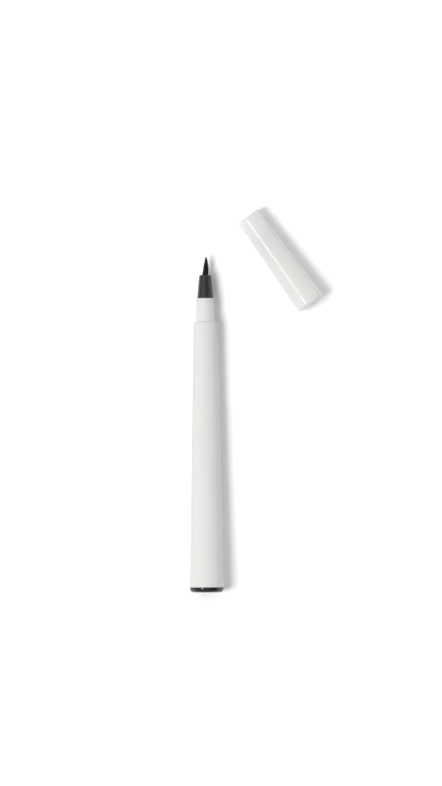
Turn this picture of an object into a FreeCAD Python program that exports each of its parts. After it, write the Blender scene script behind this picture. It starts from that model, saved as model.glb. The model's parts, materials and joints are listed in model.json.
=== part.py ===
"""A liquid eyeliner pen: a tapered barrel around an ink cartridge, a brush tip fed through a finned
collector, and a flared cap with a sprung inner seal. The pen and its taken-off cap lie on a table."""

import FreeCAD, Part
import math
import os

# Sizes are in millimetres and angles in degrees.
# The pen's own axis starts at its tail, the cap's at its mouth.

# Fits between pieces, each as a radial gap
PRESS_GAP = 0.02
SLIDE_GAP = 0.06
FEED_GAP = 0.03

# Barrel: a plain moulded cone with a raised rim at its tail
BARREL_LENGTH = 96.9
BARREL_FRONT_DIAMETER = 8.8
BARREL_TAIL_DIAMETER = 12.3
BARREL_WALL = 1.0
BARREL_FRONT_ROUND = 0.45
TAIL_RIM_HEIGHT = 0.7
TAIL_RIM_RISE = 0.16
TAIL_SOCKET_DEPTH = 7.0
CENTRING_RIB_COUNT = 4
CENTRING_RIB_LENGTH = 12.0
CENTRING_RIB_THICKNESS = 0.8

# End plug: a glossy disc with a hollow spigot that snaps into the barrel's tail
PLUG_FLANGE_HEIGHT = 1.8
PLUG_FLANGE_INSET = 0.08
PLUG_EDGE_ROUND = 1.4
PLUG_SPIGOT_LENGTH = 6.0
PLUG_SPIGOT_WALL = 1.0
PLUG_LEAD_IN = 0.4
SNAP_RISE = 0.15
SNAP_HEIGHT = 0.8
SNAP_FLAT = 0.3
SNAP_FROM_JOINT = 3.2

# Collar: the narrow neck in front of the barrel, with its shank inside the barrel and a spigot in the tank
COLLAR_LENGTH = 8.65
FRONT_STEP = 0.84
COLLAR_TAPER = 0.22
COLLAR_WALL = 0.7
COLLAR_BEAD_HEIGHT = 0.8
COLLAR_BEAD_RISE = 0.06
COLLAR_GROOVE_WIDTH = 0.35
COLLAR_GROOVE_DEPTH = 0.1
COLLAR_EDGE_ROUND = 0.15
SHANK_LENGTH = 10.0
COLLAR_SPIGOT_LENGTH = 5.0
COLLECTOR_LEDGE = 0.8

# Ink tank: a plain tube behind the collar, shut by a stopper, with one loose mixing ball in it
TANK_LENGTH = 52.9
TANK_AIR_GAP = 0.1
TANK_WALL = 0.6
STOPPER_SPIGOT_LENGTH = 4.0
STOPPER_WALL = 0.8
STOPPER_FLANGE_HEIGHT = 1.0
SPIGOT_LEAD_IN = 0.3
BALL_DIAMETER = 3.2
BALL_GAP = 0.08

# Nib holder: the black cone that grips the brush
HOLDER_LENGTH = 8.5
HOLDER_LEDGE = 0.4
HOLDER_TAPER = 0.8
HOLDER_NOSE_ROUND = 0.4
HOLDER_PLUG_LENGTH = 4.0
HOLDER_PLUG_WALL = 0.9
HOLDER_NOSE_BORE = 6.7
VENT_COUNT = 4
VENT_WIDTH = 0.6
VENT_DEPTH = 0.25

# Brush: filaments fused into a flange at the back and drawn to a point
BRUSH_DIAMETER = 2.23
BRUSH_LENGTH = 6.65
BRUSH_POINT_DIAMETER = 0.12
BRUSH_FLANGE_HEIGHT = 0.8
BRUSH_WICK_DEPTH = 3.0

# Collector and wick: the fins hold surplus ink, the wick carries it to the brush
WICK_DIAMETER = 1.5
WICK_TAIL = 0.6
WICK_END_BEVEL = 0.2
COLLECTOR_CORE_WALL = 0.75
FIN_COUNT = 18
FIN_THICKNESS = 0.4
FIN_HEAD_GAP = 0.3
INK_SLIT_WIDTH = 0.25
AIR_SLOT_WIDTH = 0.9

# Cap: flared shell, flush with the barrel at its mouth
CAP_LENGTH = 39.6
CAP_END_DIAMETER = 11.1
CAP_END_ROUND = 1.2
CAP_END_WALL = 2.2
CAP_MOUTH_ROUND = 0.25
CAP_COLLAR_GAP = 0.04
RETAINING_STEP = 0.3
SPRING_BOSS_HEIGHT = 1.2

# Inner cap: the sprung cup that seals against the collar's front ledge
SEAL_TRAVEL = 1.1
SEAL_OVERTRAVEL = 0.4
SEAL_GAP = 0.05
GUIDE_LAND_LENGTH = 6.0
INNER_CAP_WALL = 1.0
SEAL_LIP_BEVEL = 0.12
BRUSH_ROOM = 0.35
SPRING_SPIGOT_HEIGHT = 1.5

# Seal spring
SPRING_TURNS = 6
SPRING_WIRE = 0.35
SPRING_MEAN_DIAMETER = 4.2
SPRING_END_GAP = 0.02
SPRING_GUIDE_GAP = 0.2

# Where the cap lies: its mouth beside and ahead of the pen's tail end, and how far it is turned
CAP_ASIDE = 15.73
CAP_AHEAD = 137.3
CAP_HEADING = 35.4

# Construction values
CUT_OVERRUN = 1.0
SHORTEST_EDGE = 0.001
QUARTERS_PER_TURN = 4
FULL_TURN = 360.0
RIGHT_ANGLE = 90.0

# Stations along the pen, from the tail end
JOINT_Z = PLUG_FLANGE_HEIGHT
FRONT_Z = JOINT_Z + BARREL_LENGTH
COLLAR_TOP_Z = FRONT_Z + COLLAR_LENGTH
HOLDER_TOP_Z = COLLAR_TOP_Z + HOLDER_LENGTH
TIP_Z = HOLDER_TOP_Z + BRUSH_LENGTH
TANK_FRONT_Z = FRONT_Z - SHANK_LENGTH
TANK_REAR_Z = TANK_FRONT_Z - TANK_LENGTH
SPIGOT_END_Z = TANK_FRONT_Z - COLLAR_SPIGOT_LENGTH
LEDGE_Z = TANK_FRONT_Z + COLLECTOR_LEDGE
HOLDER_PLUG_END_Z = COLLAR_TOP_Z - HOLDER_PLUG_LENGTH
BRUSH_FLANGE_TOP_Z = HOLDER_TOP_Z - HOLDER_NOSE_BORE
BRUSH_FLANGE_Z = BRUSH_FLANGE_TOP_Z - BRUSH_FLANGE_HEIGHT

# Radii of the pen, from the outside in
FRONT_RADIUS = BARREL_FRONT_DIAMETER / 2
TAIL_RADIUS = BARREL_TAIL_DIAMETER / 2
RIM_RADIUS = TAIL_RADIUS + TAIL_RIM_RISE
SEAT_RADIUS = FRONT_RADIUS - BARREL_WALL
TAIL_SOCKET_RADIUS = TAIL_RADIUS - BARREL_WALL
COLLAR_BASE_RADIUS = FRONT_RADIUS - FRONT_STEP
COLLAR_TOP_RADIUS = COLLAR_BASE_RADIUS - COLLAR_TAPER
COLLAR_BEAD_RADIUS = COLLAR_TOP_RADIUS + COLLAR_BEAD_RISE
COLLAR_BORE_RADIUS = SEAT_RADIUS - COLLAR_WALL
TANK_RADIUS = SEAT_RADIUS - TANK_AIR_GAP
TANK_BORE_RADIUS = TANK_RADIUS - TANK_WALL
SPIGOT_RADIUS = TANK_BORE_RADIUS - PRESS_GAP
SPIGOT_BORE_RADIUS = SPIGOT_RADIUS - COLLAR_WALL
HOLDER_BASE_RADIUS = COLLAR_TOP_RADIUS - HOLDER_LEDGE
HOLDER_TOP_RADIUS = HOLDER_BASE_RADIUS - HOLDER_TAPER
HOLDER_PLUG_RADIUS = COLLAR_BORE_RADIUS - PRESS_GAP
HOLDER_BORE_RADIUS = HOLDER_PLUG_RADIUS - HOLDER_PLUG_WALL
BRUSH_RADIUS = BRUSH_DIAMETER / 2
NOSE_BORE_RADIUS = BRUSH_RADIUS + FEED_GAP
WICK_RADIUS = WICK_DIAMETER / 2
WICK_BORE_RADIUS = WICK_RADIUS + FEED_GAP
BALL_RADIUS = BALL_DIAMETER / 2

# Stations and radii of the cap, from its mouth
CAP_END_RADIUS = CAP_END_DIAMETER / 2
CAP_FLOOR_Z = CAP_LENGTH - CAP_END_WALL
SEAL_RIM_Z = COLLAR_LENGTH - SEAL_TRAVEL
SOCKET_DEPTH = SEAL_RIM_Z - SEAL_GAP
SOCKET_RADIUS = COLLAR_BASE_RADIUS + CAP_COLLAR_GAP
GUIDE_RADIUS = SOCKET_RADIUS + RETAINING_STEP
INNER_CAP_RADIUS = GUIDE_RADIUS - SLIDE_GAP
INNER_BORE_RADIUS = BRUSH_RADIUS + BRUSH_ROOM
INNER_FLOOR_Z = SEAL_RIM_Z + HOLDER_LENGTH + BRUSH_LENGTH + BRUSH_ROOM
INNER_REAR_Z = INNER_FLOOR_Z + INNER_CAP_WALL
SEAL_STROKE = SEAL_TRAVEL + SEAL_OVERTRAVEL
SPRING_RADIUS = SPRING_MEAN_DIAMETER / 2
SPRING_INSIDE_RADIUS = SPRING_RADIUS - SPRING_WIRE / 2

AXIS = FreeCAD.Vector(0, 0, 1)
ORIGIN = FreeCAD.Vector()


class Through:
    """A point that an arc of an outline passes through, between its two neighbours."""

    def __init__(self, radius, height):
        self.point = FreeCAD.Vector(radius, 0, height)


def place_of(item):
    """Where an item of an outline is, on the plane that is turned."""
    return item.point if isinstance(item, Through) else FreeCAD.Vector(item[0], 0, item[1])


def is_rounded(item):
    """Whether an item of an outline is a point with a rounding."""
    return not isinstance(item, Through) and len(item) > 2


def corner_arc(before, corner, after, radius, room):
    """Start, middle and end of the arc that rounds a corner, kept within the room along either side."""
    into = (before - corner).normalize()
    out = (after - corner).normalize()
    half_angle = into.getAngle(out) / 2
    reach = min(radius / math.tan(half_angle), room)
    radius = reach * math.tan(half_angle)
    inward = (into + out).normalize()
    middle = corner + inward * (radius / math.sin(half_angle) - radius)
    return corner + into * reach, middle, corner + out * reach


def outline_edges(outline):
    """Edges of a closed outline of (radius, height) or (radius, height, rounding) points and Throughs."""
    places = [place_of(item) for item in outline]
    count = len(outline)
    stops = []
    for number, item in enumerate(outline):
        if isinstance(item, Through):
            stops.append((None, item.point))
        elif is_rounded(item):
            corner = places[number]
            neighbours = [number - 1, (number + 1) % count]
            before, after = [places[neighbour] for neighbour in neighbours]
            # A side between two rounded corners is shared by them
            sharers = [1 + is_rounded(outline[neighbour]) for neighbour in neighbours]
            room = min((before - corner).Length / sharers[0], (after - corner).Length / sharers[1])
            start, middle, end = corner_arc(before, corner, after, item[2], room)
            stops += [("point", start), (None, middle), ("point", end)]
        else:
            stops.append(("point", places[number]))
    edges = []
    for number, (kind, place) in enumerate(stops):
        following_kind, following = stops[(number + 1) % len(stops)]
        if kind is None:
            edges.append(Part.Arc(stops[number - 1][1], place, following).toShape())
        elif following_kind and (following - place).Length > SHORTEST_EDGE:
            edges.append(Part.LineSegment(place, following).toShape())
    return edges


def turned(outline):
    """The solid that an outline sweeps round the axis."""
    face = Part.Face(Part.Wire(outline_edges(outline)))
    return face.revolve(ORIGIN, AXIS, FULL_TURN)


def cone_radius(height):
    """Outside radius of the barrel's cone at a height."""
    share = (FRONT_Z - height) / BARREL_LENGTH
    return FRONT_RADIUS + (TAIL_RADIUS - FRONT_RADIUS) * share


def plate(width, inner_radius, outer_radius, bottom, top):
    """A flat radial plate standing on the +X side of the axis."""
    corner = FreeCAD.Vector(inner_radius, -width / 2, bottom)
    return Part.makeBox(outer_radius - inner_radius, width, top - bottom, corner)


def around(shape, count):
    """Copies of a shape, evenly spaced round the axis."""
    copies = []
    for number in range(count):
        copy = shape.copy()
        copy.rotate(ORIGIN, AXIS, FULL_TURN * number / count)
        copies.append(copy)
    return copies


def snap_ring(bore_radius, gap):
    """Four points of the low snap ring between plug and barrel, from its tail side."""
    middle = JOINT_Z + SNAP_FROM_JOINT
    foot = SNAP_HEIGHT / 2 + gap
    crest = SNAP_FLAT / 2 + gap
    top_radius = bore_radius + SNAP_RISE
    return [
        (bore_radius, middle - foot),
        (top_radius, middle - crest),
        (top_radius, middle + crest),
        (bore_radius, middle + foot),
    ]


def make_barrel():
    """White cone with its front seat, conical inside, tail socket and ribs that centre the tank."""
    rim_top = JOINT_Z + TAIL_RIM_HEIGHT
    rim_round = TAIL_RIM_HEIGHT / 2
    socket_end = JOINT_Z + TAIL_SOCKET_DEPTH
    ring = snap_ring(TAIL_SOCKET_RADIUS, PRESS_GAP)
    shell = turned([
        (SEAT_RADIUS, FRONT_Z),
        (FRONT_RADIUS, FRONT_Z, BARREL_FRONT_ROUND),
        (cone_radius(rim_top), rim_top),
        (RIM_RADIUS, rim_top, rim_round),
        (RIM_RADIUS, JOINT_Z, rim_round),
        (TAIL_SOCKET_RADIUS, JOINT_Z),
        *ring,
        (TAIL_SOCKET_RADIUS, socket_end),
        (cone_radius(socket_end) - BARREL_WALL, socket_end),
        (cone_radius(TANK_FRONT_Z) - BARREL_WALL, TANK_FRONT_Z),
        (SEAT_RADIUS, TANK_FRONT_Z),
    ])
    half_wall = BARREL_WALL / 2
    rib_top = TANK_REAR_Z + CENTRING_RIB_LENGTH
    core = turned([
        (0, TANK_REAR_Z),
        (cone_radius(TANK_REAR_Z) - half_wall, TANK_REAR_Z),
        (cone_radius(rib_top) - half_wall, rib_top),
        (0, rib_top),
    ])
    rib = plate(CENTRING_RIB_THICKNESS, TANK_RADIUS + SLIDE_GAP, TAIL_RADIUS, TANK_REAR_Z, rib_top)
    ribs = [copy.common(core) for copy in around(rib, CENTRING_RIB_COUNT)]
    return shell.fuse(ribs).Solids[0]


def make_end_plug():
    """Black end disc and the hollow spigot behind it."""
    flange_radius = RIM_RADIUS - PLUG_FLANGE_INSET
    spigot_radius = TAIL_SOCKET_RADIUS - PRESS_GAP
    spigot_end = JOINT_Z + PLUG_SPIGOT_LENGTH
    ring = snap_ring(spigot_radius, 0)
    return turned([
        (0, 0),
        (flange_radius, 0, PLUG_EDGE_ROUND),
        (flange_radius, JOINT_Z),
        (spigot_radius, JOINT_Z),
        *ring,
        (spigot_radius, spigot_end - PLUG_LEAD_IN),
        (spigot_radius - PLUG_LEAD_IN, spigot_end),
        (spigot_radius - PLUG_SPIGOT_WALL, spigot_end),
        (spigot_radius - PLUG_SPIGOT_WALL, JOINT_Z),
        (0, JOINT_Z),
    ])


def make_collar():
    """White neck with its sealing bead, the shank that the barrel holds and the spigot in the tank."""
    bead_z = COLLAR_TOP_Z - COLLAR_BEAD_HEIGHT
    groove_z = bead_z - COLLAR_GROOVE_WIDTH
    groove_radius = COLLAR_TOP_RADIUS - COLLAR_GROOVE_DEPTH
    shank_radius = SEAT_RADIUS - PRESS_GAP
    return turned([
        (COLLAR_BORE_RADIUS, COLLAR_TOP_Z),
        (COLLAR_BEAD_RADIUS, COLLAR_TOP_Z, COLLAR_EDGE_ROUND),
        (COLLAR_BEAD_RADIUS, bead_z),
        (groove_radius, bead_z),
        (groove_radius, groove_z),
        (COLLAR_TOP_RADIUS, groove_z),
        (COLLAR_BASE_RADIUS, FRONT_Z),
        (shank_radius, FRONT_Z),
        (shank_radius, TANK_FRONT_Z),
        (SPIGOT_RADIUS, TANK_FRONT_Z),
        (SPIGOT_RADIUS, SPIGOT_END_Z + SPIGOT_LEAD_IN),
        (SPIGOT_RADIUS - SPIGOT_LEAD_IN, SPIGOT_END_Z),
        (SPIGOT_BORE_RADIUS, SPIGOT_END_Z),
        (SPIGOT_BORE_RADIUS, LEDGE_Z),
        (COLLAR_BORE_RADIUS, LEDGE_Z),
    ])


def make_ink_tank():
    """Tube that butts against the collar's shank."""
    return turned([
        (TANK_BORE_RADIUS, TANK_FRONT_Z),
        (TANK_RADIUS, TANK_FRONT_Z),
        (TANK_RADIUS, TANK_REAR_Z),
        (TANK_BORE_RADIUS, TANK_REAR_Z),
    ])


def make_tank_stopper():
    """Cup-shaped stopper pressed into the tank's tail."""
    spigot_end = TANK_REAR_Z + STOPPER_SPIGOT_LENGTH
    flange_z = TANK_REAR_Z - STOPPER_FLANGE_HEIGHT
    hollow_radius = SPIGOT_RADIUS - STOPPER_WALL
    return turned([
        (0, spigot_end),
        (SPIGOT_RADIUS - SPIGOT_LEAD_IN, spigot_end),
        (SPIGOT_RADIUS, spigot_end - SPIGOT_LEAD_IN),
        (SPIGOT_RADIUS, TANK_REAR_Z),
        (TANK_RADIUS, TANK_REAR_Z),
        (TANK_RADIUS, flange_z),
        (hollow_radius, flange_z),
        (hollow_radius, spigot_end - STOPPER_WALL),
        (0, spigot_end - STOPPER_WALL),
    ])


def ball_centre():
    """Centre of the ball at the tank's front, lying on the side of the bore that faces the table."""
    height = SPIGOT_END_Z - WICK_TAIL - BALL_GAP - BALL_RADIUS
    return FreeCAD.Vector(0, TANK_BORE_RADIUS - BALL_RADIUS - BALL_GAP, height)


def ball_travel():
    """How far the ball can roll from the wick back to the stopper."""
    return ball_centre().z - (TANK_REAR_Z + STOPPER_SPIGOT_LENGTH + BALL_GAP + BALL_RADIUS)


def make_mixing_ball():
    """Steel ball that stirs the ink."""
    return Part.makeSphere(BALL_RADIUS, ball_centre())


def make_nib_holder():
    """Black cone with a bore for the brush, and a vented plug pressed into the collar."""
    cone = turned([
        (NOSE_BORE_RADIUS, HOLDER_TOP_Z),
        (HOLDER_TOP_RADIUS, HOLDER_TOP_Z, HOLDER_NOSE_ROUND),
        (HOLDER_BASE_RADIUS, COLLAR_TOP_Z),
        (HOLDER_PLUG_RADIUS, COLLAR_TOP_Z),
        (HOLDER_PLUG_RADIUS, HOLDER_PLUG_END_Z),
        (HOLDER_BORE_RADIUS, HOLDER_PLUG_END_Z),
        (HOLDER_BORE_RADIUS, BRUSH_FLANGE_TOP_Z),
        (NOSE_BORE_RADIUS, BRUSH_FLANGE_TOP_Z),
    ])
    vent_floor = HOLDER_PLUG_RADIUS - VENT_DEPTH
    vent_end = HOLDER_PLUG_END_Z - CUT_OVERRUN
    vent = plate(VENT_WIDTH, vent_floor, HOLDER_PLUG_RADIUS + CUT_OVERRUN, vent_end, COLLAR_TOP_Z)
    return cone.cut(around(vent, VENT_COUNT)).Solids[0]


def make_brush_tip():
    """Tuft with a fused flange behind it, a socket for the wick and an ogive point."""
    point_radius = BRUSH_POINT_DIAMETER / 2
    drop = BRUSH_RADIUS - point_radius
    bow_radius = (drop ** 2 + BRUSH_LENGTH ** 2) / (2 * drop)
    half_length = BRUSH_LENGTH / 2
    half_drop = bow_radius - math.sqrt(bow_radius ** 2 - half_length ** 2)
    flange_radius = HOLDER_BORE_RADIUS - FEED_GAP
    socket_end = BRUSH_FLANGE_Z + BRUSH_WICK_DEPTH
    return turned([
        (0, socket_end),
        (WICK_BORE_RADIUS, socket_end),
        (WICK_BORE_RADIUS, BRUSH_FLANGE_Z),
        (flange_radius, BRUSH_FLANGE_Z),
        (flange_radius, BRUSH_FLANGE_TOP_Z),
        (BRUSH_RADIUS, BRUSH_FLANGE_TOP_Z),
        (BRUSH_RADIUS, HOLDER_TOP_Z),
        Through(BRUSH_RADIUS - half_drop, HOLDER_TOP_Z + half_length),
        (point_radius, TIP_Z),
        (0, TIP_Z),
    ])


def make_feed_wick():
    """Fibre rod from the tank, through the collector, into the brush."""
    rear = SPIGOT_END_Z - WICK_TAIL
    front = BRUSH_FLANGE_Z + BRUSH_WICK_DEPTH - FEED_GAP
    return turned([
        (0, rear),
        (WICK_RADIUS - WICK_END_BEVEL, rear),
        (WICK_RADIUS, rear + WICK_END_BEVEL),
        (WICK_RADIUS, front - WICK_END_BEVEL),
        (WICK_RADIUS - WICK_END_BEVEL, front),
        (0, front),
    ])


def make_collector():
    """Comb of thin fins on a bored core, with an ink slit on one side and an air slot on the other."""
    fin_radius = COLLAR_BORE_RADIUS - SLIDE_GAP
    core_radius = WICK_BORE_RADIUS + COLLECTOR_CORE_WALL
    stem_radius = SPIGOT_BORE_RADIUS - PRESS_GAP
    nose_radius = HOLDER_BORE_RADIUS - FEED_GAP
    comb_top = HOLDER_PLUG_END_Z - FIN_HEAD_GAP
    pitch = (comb_top - LEDGE_Z - FIN_THICKNESS) / (FIN_COUNT - 1)
    comb = []
    for number in range(FIN_COUNT):
        bottom = LEDGE_Z + pitch * number
        top = bottom + FIN_THICKNESS
        comb += [(fin_radius, bottom), (fin_radius, top)]
        if number < FIN_COUNT - 1:
            comb += [(core_radius, top), (core_radius, bottom + pitch)]
    body = turned([
        (WICK_BORE_RADIUS, SPIGOT_END_Z),
        (stem_radius, SPIGOT_END_Z),
        (stem_radius, LEDGE_Z),
        *comb,
        (nose_radius, comb_top),
        (nose_radius, BRUSH_FLANGE_Z),
        (WICK_BORE_RADIUS, BRUSH_FLANGE_Z),
    ])
    reach = fin_radius + CUT_OVERRUN
    slit = plate(INK_SLIT_WIDTH, core_radius, reach, LEDGE_Z, comb_top)
    slot = plate(AIR_SLOT_WIDTH, core_radius, reach, LEDGE_Z + FIN_THICKNESS, comb_top - FIN_THICKNESS)
    slot.rotate(ORIGIN, AXIS, FULL_TURN / 2)
    return body.cut([slit, slot]).Solids[0]


def make_cap_shell():
    """Flared shell with a socket for the collar, a wider bore that traps the inner cap and a spring boss."""
    boss_radius = SPRING_INSIDE_RADIUS - SPRING_GUIDE_GAP
    boss_z = CAP_FLOOR_Z - SPRING_BOSS_HEIGHT
    return turned([
        (0, CAP_LENGTH),
        (CAP_END_RADIUS, CAP_LENGTH, CAP_END_ROUND),
        (FRONT_RADIUS, 0, CAP_MOUTH_ROUND),
        (SOCKET_RADIUS, 0),
        (SOCKET_RADIUS, SOCKET_DEPTH),
        (GUIDE_RADIUS, SOCKET_DEPTH),
        (GUIDE_RADIUS, CAP_FLOOR_Z),
        (boss_radius, CAP_FLOOR_Z),
        (boss_radius, boss_z),
        (0, boss_z),
    ])


def make_inner_cap():
    """Sealing cup that the spring holds against the step behind the cap's socket."""
    land_end = SEAL_RIM_Z + GUIDE_LAND_LENGTH
    body_radius = HOLDER_TOP_RADIUS + SEAL_GAP + INNER_CAP_WALL
    spigot_radius = SPRING_INSIDE_RADIUS - SPRING_GUIDE_GAP
    spigot_end = INNER_REAR_Z + SPRING_SPIGOT_HEIGHT
    nose_z = SEAL_RIM_Z + HOLDER_LENGTH
    return turned([
        (0, spigot_end),
        (spigot_radius, spigot_end),
        (spigot_radius, INNER_REAR_Z),
        (body_radius, INNER_REAR_Z),
        (body_radius, land_end),
        (INNER_CAP_RADIUS, land_end),
        (INNER_CAP_RADIUS, SEAL_RIM_Z + SEAL_LIP_BEVEL),
        (INNER_CAP_RADIUS - SEAL_LIP_BEVEL, SEAL_RIM_Z),
        (HOLDER_BASE_RADIUS + SEAL_GAP, SEAL_RIM_Z),
        (HOLDER_TOP_RADIUS + SEAL_GAP, nose_z),
        (INNER_BORE_RADIUS, nose_z),
        (INNER_BORE_RADIUS, INNER_FLOOR_Z),
        (0, INNER_FLOOR_Z),
    ])


def spring_ends():
    """Heights of the spring's first and last wire centre."""
    inset = SPRING_WIRE / 2 + SPRING_END_GAP
    return INNER_REAR_Z + inset, CAP_FLOOR_Z - inset


def helix_point(turn):
    """Point and tangent of the spring's centreline after a number of turns."""
    first, last = spring_ends()
    pitch = (last - first) / SPRING_TURNS
    angle = 2 * math.pi * turn
    across = SPRING_RADIUS * math.cos(angle)
    over = SPRING_RADIUS * math.sin(angle)
    point = FreeCAD.Vector(across, over, first + pitch * turn)
    tangent = FreeCAD.Vector(-over, across, pitch / (2 * math.pi))
    return point, tangent.normalize()


def tangent_arc(start, corner, end):
    """Arc that touches both sides of an isosceles corner at its start and end."""
    turn = (corner - start).getAngle(end - corner)
    cosine = math.cos(turn / 2)
    chord_middle = (start + end) / 2
    middle = chord_middle + (corner - chord_middle) * (cosine / (1 + cosine))
    return Part.Arc(start, middle, end).toShape()


def quarter_biarc(number):
    """Two tangent arcs for one quarter turn of the spring."""
    start, leaving = helix_point(number / QUARTERS_PER_TURN)
    end, arriving = helix_point((number + 1) / QUARTERS_PER_TURN)
    chord = end - start
    both = leaving + arriving
    square_term = 4 - both.dot(both)
    reach = (math.sqrt(chord.dot(both) ** 2 + square_term * chord.dot(chord)) - chord.dot(both)) / square_term
    first_corner = start + leaving * reach
    second_corner = end - arriving * reach
    middle = (first_corner + second_corner) / 2
    return tangent_arc(start, first_corner, middle), tangent_arc(middle, second_corner, end)


def make_seal_spring():
    """Round wire wound in open turns between the inner cap and the cap's end."""
    quarters = SPRING_TURNS * QUARTERS_PER_TURN
    edges = [arc for number in range(quarters) for arc in quarter_biarc(number)]
    start, tangent = helix_point(0)
    section = Part.Wire(Part.Circle(start, tangent, SPRING_WIRE / 2).toShape())
    pipe = Part.BRepOffsetAPI.MakePipeShell(Part.Wire(edges))
    pipe.add(section)
    pipe.build()
    pipe.makeSolid()
    return pipe.shape()


def spring_least_gap():
    """Least clear distance between wires that lie a turn or more apart, measured on points."""
    steps = SPRING_TURNS * QUARTERS_PER_TURN * QUARTERS_PER_TURN
    points = [helix_point(SPRING_TURNS * step / steps)[0] for step in range(steps + 1)]
    near = steps // SPRING_TURNS // 2
    gaps = [(a - b).Length for i, a in enumerate(points) for b in points[i + near:]]
    return min(gaps) - SPRING_WIRE


def pen_placement():
    """Lays the pen along +Y on the tail rim and the barrel's front edge."""
    rim_z = JOINT_Z + TAIL_RIM_HEIGHT / 2
    front_z = FRONT_Z - BARREL_FRONT_ROUND
    dip = math.atan2(RIM_RADIUS - FRONT_RADIUS, front_z - rim_z)
    height = rim_z * math.sin(dip) + RIM_RADIUS * math.cos(dip)
    turn = FreeCAD.Rotation(FreeCAD.Vector(1, 0, 0), -RIGHT_ANGLE - math.degrees(dip))
    return FreeCAD.Placement(FreeCAD.Vector(0, 0, height), turn)


def cap_placement():
    """Lays the cap on its side beside the pen, mouth forward and turned away."""
    rise = math.atan2(CAP_END_RADIUS - FRONT_RADIUS, CAP_LENGTH)
    tip_over = FreeCAD.Rotation(FreeCAD.Vector(1, 0, 0), RIGHT_ANGLE - math.degrees(rise))
    turn = FreeCAD.Rotation(AXIS, CAP_HEADING)
    place = FreeCAD.Vector(CAP_ASIDE, CAP_AHEAD, FRONT_RADIUS * math.cos(rise))
    return FreeCAD.Placement(place, turn.multiply(tip_over))


PEN_PIECES = {
    "barrel": make_barrel,
    "end_plug": make_end_plug,
    "collar": make_collar,
    "ink_tank": make_ink_tank,
    "tank_stopper": make_tank_stopper,
    "mixing_ball": make_mixing_ball,
    "nib_holder": make_nib_holder,
    "brush_tip": make_brush_tip,
    "feed_wick": make_feed_wick,
    "collector": make_collector,
}
CAP_PIECES = {
    "cap_shell": make_cap_shell,
    "inner_cap": make_inner_cap,
    "seal_spring": make_seal_spring,
}


def footprint_centre(shapes):
    """Point on the table under the middle of everything, which becomes the origin."""
    box = Part.makeCompound(shapes).optimalBoundingBox(False)
    return FreeCAD.Vector(box.Center.x, box.Center.y, box.ZMin)


def lay_out():
    """Every piece in its place on the table, and where the pen's tail and the cap's mouth ended up."""
    pen = pen_placement()
    cap = cap_placement()
    pieces = {name: make().transformed(pen.toMatrix()) for name, make in PEN_PIECES.items()}
    pieces.update({name: make().transformed(cap.toMatrix()) for name, make in CAP_PIECES.items()})
    back = -footprint_centre(list(pieces.values()))
    for shape in pieces.values():
        shape.translate(back)
    pen.Base = pen.Base + back
    cap.Base = cap.Base + back
    return pieces, pen, cap


def main():
    os.makedirs("parts", exist_ok=True)
    pieces, pen, cap = lay_out()
    for name, shape in pieces.items():
        shape.exportStep(os.path.join("parts", name + ".step"))
        print(name, shape.ShapeType, "valid" if shape.isValid() else "not valid", round(shape.Volume, 3))
    print("pen tail", pen.Base, "axis", pen.Rotation.multVec(AXIS))
    print("cap mouth", cap.Base, "axis", cap.Rotation.multVec(AXIS))
    print("ball travel", ball_travel(), "seal stroke", SEAL_STROKE)
    print("least gap between spring turns", spring_least_gap())


main()
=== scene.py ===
"""Looks of a liquid eyeliner pen and its taken-off cap, lying on a pale table. Lengths are in metres."""

import json
import math

import bmesh
import bpy
from mathutils import Matrix, Vector


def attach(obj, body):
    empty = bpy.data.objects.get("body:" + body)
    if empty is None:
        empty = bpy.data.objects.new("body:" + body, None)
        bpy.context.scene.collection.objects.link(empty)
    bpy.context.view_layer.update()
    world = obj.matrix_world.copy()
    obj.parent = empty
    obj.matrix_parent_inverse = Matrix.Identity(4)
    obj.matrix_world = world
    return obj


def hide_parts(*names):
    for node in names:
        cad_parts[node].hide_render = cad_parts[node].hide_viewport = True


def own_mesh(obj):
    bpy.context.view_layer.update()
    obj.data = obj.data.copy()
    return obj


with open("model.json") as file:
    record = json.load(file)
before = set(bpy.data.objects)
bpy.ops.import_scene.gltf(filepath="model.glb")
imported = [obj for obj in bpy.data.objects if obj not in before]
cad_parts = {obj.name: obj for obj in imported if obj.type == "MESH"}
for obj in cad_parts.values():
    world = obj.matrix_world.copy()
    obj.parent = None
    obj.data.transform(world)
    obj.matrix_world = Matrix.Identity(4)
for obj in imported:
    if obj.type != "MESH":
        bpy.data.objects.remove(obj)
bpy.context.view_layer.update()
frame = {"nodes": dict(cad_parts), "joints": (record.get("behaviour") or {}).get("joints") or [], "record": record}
scene = bpy.context.scene
nodes = frame["nodes"]
mounts = {mount["name"]: mount for mount in frame["record"]["mounts"]}


# Barrel: the long cone that the hand holds, one injection moulding in white polypropylene.
# Its tool is lightly blasted, so the skin has a fine satin grain, with faint flow lines along the length
# and a rim at the tail that handling keeps a little smoother.

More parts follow.
